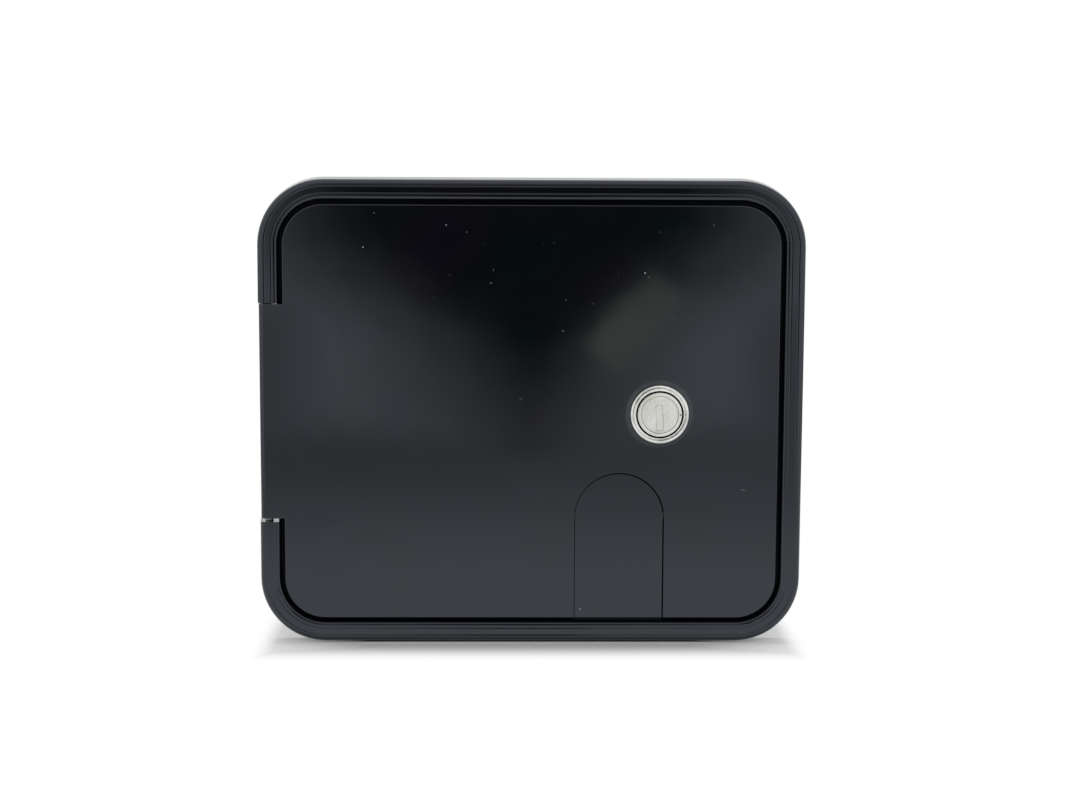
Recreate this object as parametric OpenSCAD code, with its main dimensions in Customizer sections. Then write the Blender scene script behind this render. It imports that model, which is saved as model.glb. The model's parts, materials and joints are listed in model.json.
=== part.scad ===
// Sewer hose hatch for a camper wall: a flanged frame, a locked door hinged on its
// left side and an arched flap in the door that lets the hose out.
// Flat drawing frame: x to the right, y up, z out of the wall, z = 0 on the wall's face.

/* [Frame] */
// Width of the flange where it meets the wall
frame_w = 200; // [190:1:230]
// Height of the flange where it meets the wall
frame_h = 171.2; // [165:0.2:200]
// Corner radius of the flange at the wall
frame_r = 24.4; // [23:0.2:28]
// How far the raised rim stands out of the wall
rim_t = 8.5; // [8.3:0.1:10]
// Width of the raised rim at the wall
rim_w = 8; // [7.8:0.1:8.6]
// How far the rim's outer side leans in from wall to front
rim_lean = 0.8; // [0.6:0.1:1.2]
// Radius of the rim's outer front edge
rim_outer_r = 2; // [1.6:0.1:2.2]
// Radius of the rim's inner front edge
rim_inner_r = 1.5; // [1:0.1:1.6]
// Width of the outer wall of the hollow rim
rim_wall = 2.15; // [2:0.05:2.2]
// Thickness of the rim's front skin
rim_skin = 2.2; // [2:0.1:2.4]
// Width of the shallow creases round the rim
crease_w = 0.6; // [0.4:0.1:0.8]
// Depth of the shallow creases round the rim
crease_d = 0.08; // [0.04:0.02:0.2]
// Thickness of the ledge behind the door
ledge_t = 3; // [2.4:0.1:3.2]
// Width of the ledge between the rim and the collar's outer face
ledge_w = 12; // [11.8:0.1:14]
// Outer corner radius of the collar
collar_r = 10; // [8:1:14]
// Depth of the collar into the wall
collar_d = 24; // [20:1:40]
// Thickness of the collar
collar_t = 2; // [1.6:0.1:2.4]

/* [Screw holes] */
// Distance of a screw hole from the rim's inner sides
screw_in = 9; // [8.8:0.1:9]
// Radius of a screw hole
screw_r = 2.2; // [1.8:0.1:2.4]
// Radius of a countersink at the ledge's face
sink_r = 3.8; // [3:0.1:4]

/* [Door] */
// Gap between the rim and the door
door_gap = 1.6; // [1.4:0.1:2.2]
// Thickness of the door's skin
door_t = 2.5; // [2:0.1:2.8]
// Thickness of the skirt round the door's back
skirt_t = 1.8; // [1.4:0.1:2.2]
// Distance from the skirt to the ledge
skirt_gap = 0.6; // [0.4:0.1:1]
// Radius of the door's front edge
door_edge_r = 0.4; // [0.3:0.1:0.9]
// Thickness of the stiffening ribs on the door's back
rib_t = 1.4; // [1:0.1:2]
// Depth of the stiffening ribs on the door's back
rib_d = 2.2; // [1:0.1:2.4]

/* [Hinge] */
// Distance of the hinge axis from the flange's outer edge
hinge_in = 3.7; // [3.7:0.05:3.8]
// Height of the hinge axis above the wall
hinge_z = 4.5; // [4.4:0.1:4.6]
// Radius of the hinge pins
hinge_pin_r = 1.5; // [1.3:0.05:1.5]
// Length of one hinge pin
hinge_pin_l = 30; // [24:1:34]
// Radius of the knuckle round the pins
knuckle_r = 2.7; // [2.5:0.1:2.8]
// Radius of the hinge block's outer front edge
block_edge_r = 1.5; // [1.2:0.1:2]
// Thickness of the arm between knuckle and door
arm_t = 3.5; // [3:0.1:4]
// Half the height of the notch in the rim
notch_half = 40.2; // [36:0.1:44]
// Depth of the notch from the flange's outer edge
notch_d = 7; // [6.8:0.1:7.4]
// Gap above the hinge block
block_gap_top = 0.3; // [0.3:0.1:1]
// Gap below the hinge block
block_gap_bottom = 1.3; // [0.4:0.1:2]
// Length of the boss that holds a pin in the rim
boss_l = 9; // [6:1:12]

/* [Seal] */
// Width of the rubber seal
seal_w = 4; // [3.4:0.1:4]
// Radius of the seal's round top
seal_top_r = 1.6; // [1.2:0.1:1.7]
// Gap between the seal and the collar's outer face
seal_in = 0.5; // [0.3:0.1:0.8]

/* [Lock] */
// Distance of the lock from the flange's right edge
lock_in = 53.2; // [50:0.2:56]
// Height of the lock above the frame's middle
lock_y = 0; // [-2:1:4]
// Radius of the lock's front ring
ring_r = 10.5; // [10:0.1:12]
// How far the front ring stands out of the door
ring_t = 1.8; // [1.2:0.1:2.4]
// Radius of the shallow dish round the lock
dish_r = 12.6; // [12.2:0.1:14]
// Depth of the shallow dish round the lock
dish_d = 0.3; // [0.2:0.1:0.5]
// Radius of the lock's threaded body
barrel_r = 9; // [8.8:0.1:9.4]
// Half the distance between the body's two flats
barrel_flat = 8; // [7.6:0.1:8.6]
// Length of the lock's body behind the door's face
barrel_l = 13.5; // [12:0.5:16]
// Radius of the plug's face
plug_r = 8.1; // [7.8:0.1:8.2]
// Radius of the plug's shaft
plug_shaft_r = 6; // [5:0.1:6.4]
// Width of the key slot
key_w = 2.6; // [2:0.1:3]
// Length of the key slot
key_l = 9.5; // [8:0.5:10]
// How far the key slot's middle lies below the plug's
key_drop = 1.25; // [0:0.25:1.5]
// Lean of the key slot from upright
key_tilt = 3; // [0:1:5]
// Reach of the cam from the lock's axis
cam_reach = 27; // [25:0.5:28]
// Width of the cam
cam_w = 10; // [8:0.5:12]
// Thickness of the cam
cam_t = 2; // [1.5:0.1:2.5]
// Overlap of the locked cam and the strike
strike_bite = 6; // [4:0.5:8]
// Height of the strike on the collar
strike_h = 18; // [14:1:24]

/* [Hose flap] */
// Distance of the flap's middle from the flange's right edge
flap_in = 67.6; // [66:0.2:72]
// Radius of the flap's round top and half its width
flap_r = 16.1; // [14:0.1:17]
// Height of the arch's centre above the door's lower edge
flap_rise = 37.7; // [35:0.1:38]
// Seam between the flap and the door
flap_seam = 0.4; // [0.35:0.05:0.6]
// Thickness of the flap's skin
flap_t = 2.2; // [1.8:0.1:2.4]
// How far the flap's lower edge stays above the door's
flap_lift = 0.2; // [0:0.1:0.6]
// Height of the flap's rod above the wall
flap_rod_z = 5.8; // [5.6:0.1:6]
// Radius of the flap's rod
flap_rod_r = 1; // [0.8:0.05:1]
// Height of the sill under the flap
sill_h = 1; // [0.6:0.1:1.2]
// How far the sill stays behind the rim's front
sill_back = 3; // [0.8:0.1:3.2]

/* [Hidden] */
$fn = 64;
cut = 1; // how far a cutting shape runs past what it cuts
run_fit = 0.05; // radial clearance of what turns on a pin
set_fit = 0.02; // radial clearance of what stays on its pin
face_fit = 0.3; // clearance between soft or curved faces

inner_w = frame_w - 2 * rim_w;
inner_h = frame_h - 2 * rim_w;
inner_r = frame_r - rim_w;
door_w = inner_w - 2 * door_gap;
door_h = inner_h - 2 * door_gap;
door_r = inner_r - door_gap;
door_back = rim_t - door_t;
skirt_z = ledge_t + skirt_gap;
hinge_x = hinge_in - frame_w / 2;
block_left = hinge_x - knuckle_r;
block_top = notch_half - block_gap_top;
block_bottom = block_gap_bottom - notch_half;
collar_w = inner_w - 2 * ledge_w;
collar_h = inner_h - 2 * ledge_w;
collar_inner_w = collar_w - 2 * collar_t;
collar_inner_h = collar_h - 2 * collar_t;
channel_w = rim_w - rim_wall - 1.8; // hollow inside the rim, beside a 1.8 inner wall
crease_places = [rim_w - 4.9, rim_w - 2.3];
ledge_lap = 0.2; // how far joined shapes of one moulding run into each other
screw_w = inner_w - 2 * screw_in;
screw_h = inner_h - 2 * screw_in;
lock_x = frame_w / 2 - lock_in;
flap_x = frame_w / 2 - flap_in;
flap_drop = door_h / 2 - flap_rise;
strike_x = lock_x + cam_reach - strike_bite;
cam_front = rim_t - barrel_l - 0.4;
cam_back = cam_front - cam_t;
strike_back = cam_front + 1;
seal_outer_w = collar_w + 2 * (seal_in + seal_w);
seal_outer_h = collar_h + 2 * (seal_in + seal_w);
seal_outer_r = collar_r + seal_in + seal_w;
seal_base_t = door_back - face_fit - seal_top_r - ledge_t;
strip_w = skirt_t + 1; // width of the door's outer strip
arm_end = strip_w - door_w / 2;
rib_reach_x = collar_inner_w / 2 - 3;
rib_reach_y = collar_inner_h / 2 - 3;
rib_y = 34;
rib_places = [-40, 0];
lock_pad_r = 13; // thick pad of the door round the lock
guard_r = flap_r + flap_seam + 1.7;
guard_drop = rib_reach_y - flap_drop;
ear_w = 3;
ear_in = flap_r + flap_seam + 0.8; // inner side of the ears
ear_x = ear_in + ear_w / 2;
ear_r = 2.2;
lug_w = 6;
lug_x = flap_r - lug_w / 2 - 1;
lug_r = 2;
lip_w = 1.5;
lip_angle = 80;
rest_w = 1; // how far the flap's rests reach into its opening
rest_front = rim_t - flap_t - 0.2;
rest_top = flap_rod_r + 0.1; // the rests end this far under the rod's axis
tab_t = 0.7; // thickness of the tabs that close the seam over the rod
tab_h = 2;
flap_h = flap_rise - flap_lift;
flap_back = rim_t - flap_t - 1.8; // back of the flap's rib and of its rests
flap_rib_t = 1.2;
flap_play = 0.15; // how far the flap sits to the left on its rod
flap_rib_r = flap_r - rest_w - 0.2; // outer side of the flap's rib, clear of the rests
ring_edge_r = 0.7;
ring_back = rim_t - dish_d;
ring_front = rim_t + ring_t;
plug_face_t = 1.8;
plug_gap = 0.2;
plug_face_z = ring_front - 0.2;
plug_back = plug_face_z - plug_face_t + run_fit + plug_gap;
plug_rim_w = 1.1;
plug_edge_r = 0.25;
plug_dish_d = 0.4;
mouth_edge = 0.2; // chamfer of the ring round the plug
barrel_edge = 0.6; // chamfer of the barrel's back end
mark_r = 0.3; // small index marks on the plug and the ring
mark_d = 0.15;
ring_mark_x = (ring_r + plug_r + plug_gap) / 2;
key_depth = 1.4;
shutter_in = 0.1;
shutter_t = 0.8;
tail_w = 6; // the plug's square tail that carries the cam
tail_bore = 5;
cam_hub_r = 7;
cam_screw_r = 2;
cam_washer_r = 4.5;
screw_head_r = 3.8;
screw_head_t = 2.2;
cross_l = 4.4;
cross_w = 0.9;
cross_d = 1.2;
washer_t = 0.8;
washer_r = 12;
washer_z = door_back - rib_d - washer_t;
nut_across = 22;
nut_t = 4;
nut_edge = 1.4; // chamfer of the nut's corners
nut_z = washer_z - nut_t;

module stand() {
    rotate([90, 0, 0]) children();
}

module round_rect(w, h, r) {
    square([w, h - 2 * r], center = true);
    square([w - 2 * r, h], center = true);
    for (sx = [-1, 1], sy = [-1, 1])
        translate([sx * (w / 2 - r), sy * (h / 2 - r)]) circle(r);
}

// Runs a section round a rounded rectangle. The section's x is the distance from a
// corner's centre, and its y the height above the wall.
module run_round(w, h, r) {
    sides = [w / 2 - r, h / 2 - r];
    for (sx = [-1, 1], sy = [-1, 1])
        translate([sx * sides[0], sy * sides[1], 0])
            rotate([0, 0, sx > 0 ? (sy > 0 ? 0 : -90) : (sy > 0 ? 90 : 180)])
                rotate_extrude(angle = 90) children();
    for (s = [-1, 1]) {
        translate([s * sides[0], 0, 0]) rotate([90, 0, s > 0 ? 0 : 180])
            linear_extrude(2 * sides[1], center = true) children();
        translate([0, s * sides[1], 0]) rotate([90, 0, s > 0 ? 90 : -90])
            linear_extrude(2 * sides[0], center = true) children();
    }
}

// Section of the raised rim, hollow at the back, with rounded edges and two shallow creases.
// Its x is the distance from the corner's centre.
module rim_section() {
    lean = atan(rim_lean / rim_t);
    outer_z = rim_t - rim_outer_r;
    outer_in = (rim_outer_r + outer_z * sin(lean)) / cos(lean);
    inner_in = rim_w - rim_inner_r;
    translate([frame_r, 0]) mirror([1, 0]) difference() {
        union() {
            polygon([
                [0, 0],
                [outer_in - rim_outer_r * cos(lean), outer_z + rim_outer_r * sin(lean)],
                [outer_in, rim_t],
                [inner_in, rim_t],
                [rim_w, rim_t - rim_inner_r],
                [rim_w, 0]
            ]);
            translate([outer_in, outer_z]) circle(rim_outer_r);
            translate([inner_in, rim_t - rim_inner_r]) circle(rim_inner_r);
        }
        for (p = crease_places)
            translate([p, rim_t]) polygon([
                [-crease_w / 2, cut], [-crease_w / 2, 0], [0, -crease_d],
                [crease_w / 2, 0], [crease_w / 2, cut]
            ]);
        translate([rim_wall, -cut]) square([channel_w, rim_t - rim_skin + cut]);
    }
}

module ledge() {
    linear_extrude(ledge_t) difference() {
        round_rect(inner_w + 2 * ledge_lap, inner_h + 2 * ledge_lap, inner_r + ledge_lap);
        round_rect(collar_inner_w, collar_inner_h, collar_r - collar_t);
    }
}

module collar() {
    translate([0, 0, -collar_d]) linear_extrude(collar_d + ledge_t / 2) difference() {
        round_rect(collar_w, collar_h, collar_r);
        round_rect(collar_inner_w, collar_inner_h, collar_r - collar_t);
    }
}

module pin_boss(side) {
    near = side > 0 ? notch_half : -notch_half - boss_l;
    translate([rim_wall - frame_w / 2 - ledge_lap, near, 0])
        cube([channel_w + 2 * ledge_lap, boss_l, rim_t - rim_skin + ledge_lap]);
}

module strike() {
    reach = collar_inner_w / 2 - strike_x;
    translate([strike_x, lock_y - strike_h / 2, strike_back]) difference() {
        cube([reach + ledge_lap, strike_h, ledge_t - strike_back]);
        translate([collar_t, collar_t, collar_t])
            cube([reach - collar_t, strike_h - 2 * collar_t, ledge_t]);
    }
}

module sill() {
    reach = flap_r + flap_seam;
    translate([flap_x - reach, -inner_h / 2 - ledge_lap, ledge_t / 2])
        cube([2 * reach, sill_h + ledge_lap, rim_t - sill_back - ledge_t / 2]);
}

module notch() {
    translate([-frame_w / 2 - cut, -notch_half, -cut])
        cube([notch_d + cut, 2 * notch_half, rim_t + 2 * cut]);
    translate([-frame_w / 2, -notch_half, ledge_t])
        cube([rim_w + cut, 2 * notch_half, rim_t]);
}

module screw_holes() {
    for (sx = [-1, 1], sy = [-1, 1]) translate([sx * screw_w / 2, sy * screw_h / 2, 0]) {
        translate([0, 0, -cut]) cylinder(r = screw_r, h = ledge_t + 2 * cut);
        translate([0, 0, ledge_t - (sink_r - screw_r)])
            cylinder(r1 = screw_r, r2 = sink_r + cut, h = sink_r - screw_r + cut);
    }
}

module frame() {
    color("#26282a") stand() difference() {
        union() {
            run_round(frame_w, frame_h, frame_r) rim_section();
            ledge();
            collar();
            for (side = [-1, 1]) pin_boss(side);
            strike();
            sill();
        }
        notch();
        screw_holes();
        for (side = [-1, 1]) translate([hinge_x, side * (notch_half + boss_l / 2), hinge_z])
            rotate([90, 0, 0])
                cylinder(r = hinge_pin_r + set_fit, h = boss_l + 2 * cut, center = true);
    }
}

module door_seal() {
    color("#1b1b1b") stand() run_round(seal_outer_w, seal_outer_h, seal_outer_r)
        translate([seal_outer_r - seal_w / 2, ledge_t]) {
            translate([-seal_w / 2, 0]) square([seal_w, seal_base_t]);
            intersection() {
                translate([0, seal_base_t]) circle(seal_top_r);
                translate([-seal_w / 2, 0]) square([seal_w, seal_base_t + seal_top_r]);
            }
        }
}

module hinge_pin(side) {
    far = notch_half + boss_l;
    color("silver") stand() translate([hinge_x, side * (far - hinge_pin_l / 2), hinge_z])
        rotate([90, 0, 0]) cylinder(r = hinge_pin_r, h = hinge_pin_l, center = true);
}

module hinge_pin_upper() {
    hinge_pin(1);
}

module hinge_pin_lower() {
    hinge_pin(-1);
}

// Section of the door's outer strip: skin with a rounded edge, and the skirt behind it.
module door_edge_section() {
    translate([door_r, 0]) mirror([1, 0]) {
        polygon([
            [0, skirt_z],
            [0, rim_t - door_edge_r],
            [door_edge_r, rim_t],
            [strip_w, rim_t],
            [strip_w, door_back],
            [skirt_t, door_back],
            [skirt_t, skirt_z]
        ]);
        translate([door_edge_r, rim_t - door_edge_r]) circle(door_edge_r);
    }
}

// Section of the hinge block across the pin: knuckle, outer wall and arm to the door.
module block_section() {
    circle_x = block_left + block_edge_r;
    translate([hinge_x, hinge_z]) circle(knuckle_r);
    translate([block_left, hinge_z])
        square([knuckle_r, rim_t - block_edge_r - hinge_z]);
    translate([circle_x, rim_t - arm_t])
        square([arm_end - circle_x, arm_t]);
    translate([circle_x, rim_t - block_edge_r]) circle(block_edge_r);
}

module hinge_block() {
    translate([0, (block_top + block_bottom) / 2, 0]) rotate([90, 0, 0])
        linear_extrude(block_top - block_bottom, center = true) block_section();
}

// The shape of the flap, with its arch's centre at the origin.
module arch(r, drop) {
    circle(r);
    translate([-r, -drop]) square([2 * r, drop]);
}

module door_ribs() {
    depth = rib_d + ledge_lap;
    translate([0, 0, door_back - rib_d]) linear_extrude(depth) {
        translate([-rib_reach_x, rib_y - rib_t / 2]) square([2 * rib_reach_x, rib_t]);
        difference() {
            translate([-rib_reach_x, -rib_y - rib_t / 2]) square([2 * rib_reach_x, rib_t]);
            translate([flap_x, -flap_drop]) arch(guard_r, guard_drop);
        }
        for (x = rib_places) translate([x - rib_t / 2, -rib_reach_y])
            square([rib_t, 2 * rib_reach_y]);
        translate([lock_x, lock_y]) circle(lock_pad_r);
    }
}

// The raised guard round the flap's opening, on the door's back.
module flap_guard() {
    translate([flap_x, -flap_drop, door_back - rib_d]) linear_extrude(rib_d + ledge_lap)
        intersection() {
            difference() {
                arch(guard_r + rib_t, guard_drop);
                arch(guard_r, guard_drop + cut);
            }
            translate([-guard_r - cut, -guard_drop])
                square([2 * (guard_r + cut), guard_drop + guard_r + cut]);
        }
}

module flap_ears() {
    for (s = [-1, 1]) translate([flap_x + s * ear_x, -flap_drop, flap_rod_z])
        rotate([0, 90, 0]) cylinder(r = ear_r, h = ear_w, center = true);
}

// Two strips behind the sides of the flap's opening, which stop the flap and close its seam.
module flap_rests() {
    inner = flap_r + flap_seam - rest_w;
    outer = guard_r + ledge_lap;
    top = -flap_drop - rest_top;
    for (s = [-1, 1]) translate([flap_x + (s > 0 ? inner : -outer), -collar_h / 2, flap_back])
        cube([outer - inner, top + collar_h / 2, rest_front - flap_back]);
}

// The door's plate with everything that is cut out of it.
module door_plate() {
    difference() {
        union() {
            run_round(door_w, door_h, door_r) door_edge_section();
            translate([0, 0, door_back]) linear_extrude(door_t)
                round_rect(door_w - 2 * skirt_t, door_h - 2 * skirt_t, door_r - skirt_t);
            hinge_block();
            door_ribs();
            flap_guard();
            flap_ears();
        }
        translate([hinge_x, 0, hinge_z]) rotate([90, 0, 0])
            cylinder(r = hinge_pin_r + run_fit, h = frame_h, center = true);
        translate([lock_x, lock_y, 0]) {
            difference() {
                cylinder(r = barrel_r + set_fit, h = rim_t + cut);
                barrel_flats(barrel_flat + set_fit, 0, rim_t - dish_d);
            }
            translate([0, 0, rim_t - dish_d]) cylinder(r = dish_r, h = cut);
        }
        translate([flap_x, -flap_drop, -cut]) linear_extrude(rim_t + 2 * cut)
            arch(flap_r + flap_seam, door_h);
        translate([flap_x, -flap_drop, flap_rod_z]) rotate([0, 90, 0])
            cylinder(r = flap_rod_r + set_fit, h = 2 * (ear_x + ear_w / 2 + cut), center = true);
    }
}

module door() {
    color("#26282a") stand() union() {
        door_plate();
        flap_rests();
    }
}

// Blocks that take the two flats off the lock's round body, which keep it from
// turning in the door.
module barrel_flats(half, from, to) {
    for (s = [-1, 1]) translate([s * (half + barrel_r) - barrel_r, -2 * barrel_r, from])
        cube([2 * barrel_r, 4 * barrel_r, to - from]);
}

// Section of the lock's body: a front ring, rounded outside and chamfered where the
// plug sits, and the barrel behind it.
module housing_section() {
    mouth_r = plug_r + plug_gap;
    bore_r = plug_shaft_r + run_fit;
    polygon([
        [bore_r, rim_t - barrel_l],
        [barrel_r - barrel_edge, rim_t - barrel_l],
        [barrel_r, rim_t - barrel_l + barrel_edge],
        [barrel_r, ring_back],
        [ring_r, ring_back],
        [ring_r, ring_front - ring_edge_r],
        [ring_r - ring_edge_r, ring_front],
        [mouth_r + mouth_edge, ring_front],
        [mouth_r, ring_front - mouth_edge],
        [mouth_r, ring_front - plug_face_t],
        [bore_r, ring_front - plug_face_t]
    ]);
    translate([ring_r - ring_edge_r, ring_front - ring_edge_r]) circle(ring_edge_r);
}

// The lock's body: the front ring and the flatted barrel behind it.
module lock_housing() {
    color("#c9cbc8") stand() translate([lock_x, lock_y, 0]) difference() {
        rotate_extrude() housing_section();
        barrel_flats(barrel_flat, rim_t - barrel_l - cut, ring_back);
        translate([ring_mark_x, 0, ring_front - mark_d]) cylinder(r = mark_r, h = cut);
    }
}

module lock_washer() {
    color("silver") stand() translate([lock_x, lock_y, washer_z]) difference() {
        cylinder(r = washer_r, h = washer_t);
        translate([0, 0, -cut]) cylinder(r = barrel_r + run_fit, h = washer_t + 2 * cut);
    }
}

module lock_nut() {
    color("silver") stand() translate([lock_x, lock_y, nut_z]) difference() {
        intersection() {
            cylinder(r = nut_across / 2 / cos(30), h = nut_t, $fn = 6);
            rotate_extrude() polygon([
                [0, 0], [nut_across / 2, 0], [nut_across / 2 + nut_edge, nut_edge / 2],
                [nut_across / 2 + nut_edge, nut_t - nut_edge / 2],
                [nut_across / 2, nut_t], [0, nut_t]
            ]);
        }
        translate([0, 0, -cut]) cylinder(r = barrel_r + set_fit, h = nut_t + 2 * cut);
    }
}

module flap_rod() {
    color("silver") stand() translate([flap_x, -flap_drop, flap_rod_z]) rotate([0, 90, 0])
        cylinder(r = flap_rod_r, h = 2 * ear_x + ear_w, center = true);
}

module lock_plug() {
    color("#d4d6d2") stand() translate([lock_x, lock_y, 0]) difference() {
        union() {
            rotate_extrude() {
                polygon([
                    [0, cam_front],
                    [plug_shaft_r, cam_front],
                    [plug_shaft_r, plug_back],
                    [plug_r, plug_back],
                    [plug_r, plug_face_z - plug_edge_r],
                    [plug_r - plug_edge_r, plug_face_z],
                    [plug_r - plug_rim_w + plug_edge_r, plug_face_z],
                    [plug_r - plug_rim_w, plug_face_z - plug_edge_r],
                    [plug_r - plug_rim_w, plug_face_z - plug_dish_d],
                    [0, plug_face_z - plug_dish_d]
                ]);
                for (r = [plug_r - plug_edge_r, plug_r - plug_rim_w + plug_edge_r])
                    translate([r, plug_face_z - plug_edge_r]) circle(plug_edge_r);
            }
            translate([-tail_w / 2, -tail_w / 2, cam_back])
                cube([tail_w, tail_w, cam_front - cam_back + cut]);
        }
        translate([0, -key_drop, plug_face_z - key_depth]) rotate([0, 0, key_tilt])
            translate([-key_w / 2, -key_l / 2, 0]) cube([key_w, key_l, key_depth + cut]);
        translate([plug_r - plug_rim_w / 2, 0, plug_face_z - mark_d])
            cylinder(r = mark_r, h = cut);
        translate([0, 0, cam_back - cut]) cylinder(r = cam_screw_r + set_fit, h = tail_bore);
    }
}

module key_shutter() {
    color("#e3e4e0") stand()
        translate([lock_x, lock_y - key_drop, plug_face_z - plug_dish_d - shutter_in - shutter_t])
            rotate([0, 0, key_tilt]) translate([run_fit - key_w / 2, run_fit - key_l / 2, 0])
                cube([key_w - 2 * run_fit, key_l - 2 * run_fit, shutter_t]);
}

module lock_cam() {
    color("silver") stand() translate([lock_x, lock_y, cam_back]) difference() {
        union() {
            cylinder(r = cam_hub_r, h = cam_t);
            translate([-cam_w / 2, 0, 0]) cube([cam_w, cam_reach - cam_w / 2, cam_t]);
            translate([0, cam_reach - cam_w / 2, 0]) cylinder(r = cam_w / 2, h = cam_t);
        }
        translate([-tail_w / 2 - run_fit, -tail_w / 2 - run_fit, -cut])
            cube([tail_w + 2 * run_fit, tail_w + 2 * run_fit, cam_t + 2 * cut]);
    }
}

module cam_washer() {
    color("silver") stand() translate([lock_x, lock_y, cam_back - washer_t]) difference() {
        cylinder(r = cam_washer_r, h = washer_t);
        translate([0, 0, -cut]) cylinder(r = cam_screw_r + run_fit, h = washer_t + 2 * cut);
    }
}

module cam_screw() {
    head_z = cam_back - washer_t;
    color("silver") stand() translate([lock_x, lock_y, 0]) difference() {
        union() {
            translate([0, 0, head_z - screw_head_t]) cylinder(r = screw_head_r, h = screw_head_t);
            translate([0, 0, head_z - cut]) cylinder(r = cam_screw_r, h = tail_bore);
        }
        for (a = [0, 90]) rotate([0, 0, a])
            translate([-cross_l / 2, -cross_w / 2, head_z - screw_head_t - cut])
                cube([cross_l, cross_w, cross_d + cut]);
    }
}

// Section of the flap's lip: a flange behind the door, joined to the flap's rib and skin.
module lip_section() {
    polygon([
        [flap_rib_r - flap_rib_t, flap_back],
        [flap_r + lip_w, flap_back],
        [flap_r + lip_w, door_back - face_fit],
        [flap_r, door_back - face_fit],
        [flap_r, rim_t - flap_t + ledge_lap],
        [flap_rib_r - flap_rib_t, rim_t - flap_t + ledge_lap]
    ]);
}

// Two tabs that carry the lip's ends down to the rod, past the inner sides of the ears.
module lip_tabs() {
    reach = ear_in - flap_play - 0.2;
    for (s = [-1, 1]) mirror([s > 0 ? 0 : 1, 0, 0]) {
        translate([flap_rib_r, flap_rod_r, door_back - face_fit - tab_t])
            cube([reach - flap_rib_r, tab_h, tab_t]);
        translate([flap_rib_r, flap_rod_r, door_back - face_fit - tab_t])
            cube([flap_r - flap_rib_r, tab_h, rim_t - flap_t + ledge_lap - door_back + face_fit + tab_t]);
    }
}

// The flap: a thin skin with a rib round its back, two lugs on the rod, and a lip over
// the arch that meets the door's back when the flap is shut.
module hose_flap() {
    color("#26282a") stand() translate([flap_x - flap_play, -flap_drop, 0]) difference() {
        union() {
            translate([0, 0, rim_t - flap_t]) linear_extrude(flap_t) arch(flap_r, flap_h);
            translate([0, 0, flap_back]) linear_extrude(rim_t - flap_back - ledge_lap)
                difference() {
                    arch(flap_rib_r, guard_drop);
                    arch(flap_rib_r - flap_rib_t, guard_drop - flap_rib_t);
                }
            rotate_extrude(angle = 2 * lip_angle, start = 90 - lip_angle) lip_section();
            lip_tabs();
            for (s = [-1, 1]) translate([s * lug_x, 0, flap_rod_z]) rotate([0, 90, 0])
                cylinder(r = lug_r, h = lug_w, center = true);
        }
        translate([0, 0, flap_rod_z]) rotate([0, 90, 0])
            cylinder(r = flap_rod_r + run_fit, h = 3 * flap_r, center = true);
    }
}

frame();
door_seal();
hinge_pin_upper();
hinge_pin_lower();
door();
lock_housing();
lock_washer();
lock_nut();
flap_rod();
lock_plug();
key_shutter();
lock_cam();
cam_washer();
cam_screw();
hose_flap();
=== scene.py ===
import json
import math
import random

import bpy
from mathutils import Matrix, Vector


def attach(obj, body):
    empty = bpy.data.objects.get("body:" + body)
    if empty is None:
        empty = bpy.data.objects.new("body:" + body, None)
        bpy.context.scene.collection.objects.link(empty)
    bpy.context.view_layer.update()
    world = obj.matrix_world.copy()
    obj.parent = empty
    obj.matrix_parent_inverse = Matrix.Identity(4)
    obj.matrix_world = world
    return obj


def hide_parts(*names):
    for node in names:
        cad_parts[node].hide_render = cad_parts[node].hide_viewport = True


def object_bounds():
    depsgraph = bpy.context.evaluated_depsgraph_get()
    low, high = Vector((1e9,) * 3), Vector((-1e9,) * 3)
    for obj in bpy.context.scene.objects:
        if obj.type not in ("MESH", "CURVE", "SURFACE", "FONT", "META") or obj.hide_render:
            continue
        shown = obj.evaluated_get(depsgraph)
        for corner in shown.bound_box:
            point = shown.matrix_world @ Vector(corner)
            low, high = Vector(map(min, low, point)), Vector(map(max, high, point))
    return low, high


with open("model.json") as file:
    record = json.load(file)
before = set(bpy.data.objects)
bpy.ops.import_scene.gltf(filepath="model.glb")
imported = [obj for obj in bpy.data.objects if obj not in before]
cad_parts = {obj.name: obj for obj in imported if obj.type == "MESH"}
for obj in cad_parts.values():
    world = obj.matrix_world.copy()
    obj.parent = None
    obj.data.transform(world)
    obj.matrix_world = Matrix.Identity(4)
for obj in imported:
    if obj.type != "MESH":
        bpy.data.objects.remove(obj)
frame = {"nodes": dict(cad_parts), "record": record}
cad_box = [list(map(float, corner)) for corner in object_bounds()]
nodes = frame["nodes"]
MM = 0.001
FRONT_Y = -8.5 * MM  # the door's face
FLOOR_Z = cad_box[0][2]
LOCK_AXIS = Vector((46.8, 0, 0)) * MM
CARD_Y = -300 * MM  # where the dark card stands in front of the hatch
# the flange's outer corners: their radius, and how far out their centres are, in millimetres
RIM_R = 24.4
RIM_ARC = (100 - RIM_R, 85.6 - RIM_R)


def linear(hex_colour):
    """An sRGB hex colour as linear red, green, blue and alpha."""
    values = [int(hex_colour[i:i + 2], 16) / 255 for i in (1, 3, 5)]
    return tuple(v / 12.92 if v <= 0.04045 else ((v + 0.055) / 1.055) ** 2.4 for v in values) + (1,)


def add(tree, kind, inputs=None, **settings):
    """Adds a shader node with its settings, and sets or links its inputs. A node that is
    given as an input means its first output."""
    made = tree.nodes.new("ShaderNode" + kind)
    for name, value in settings.items():
        setattr(made, name, value)
    for name, value in (inputs or {}).items():
        if isinstance(value, bpy.types.Node):
            value = value.outputs[0]
        if isinstance(value, bpy.types.NodeSocket):
            tree.links.new(value, made.inputs[name])
        else:
            made.inputs[name].default_value = value
    return made


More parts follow.
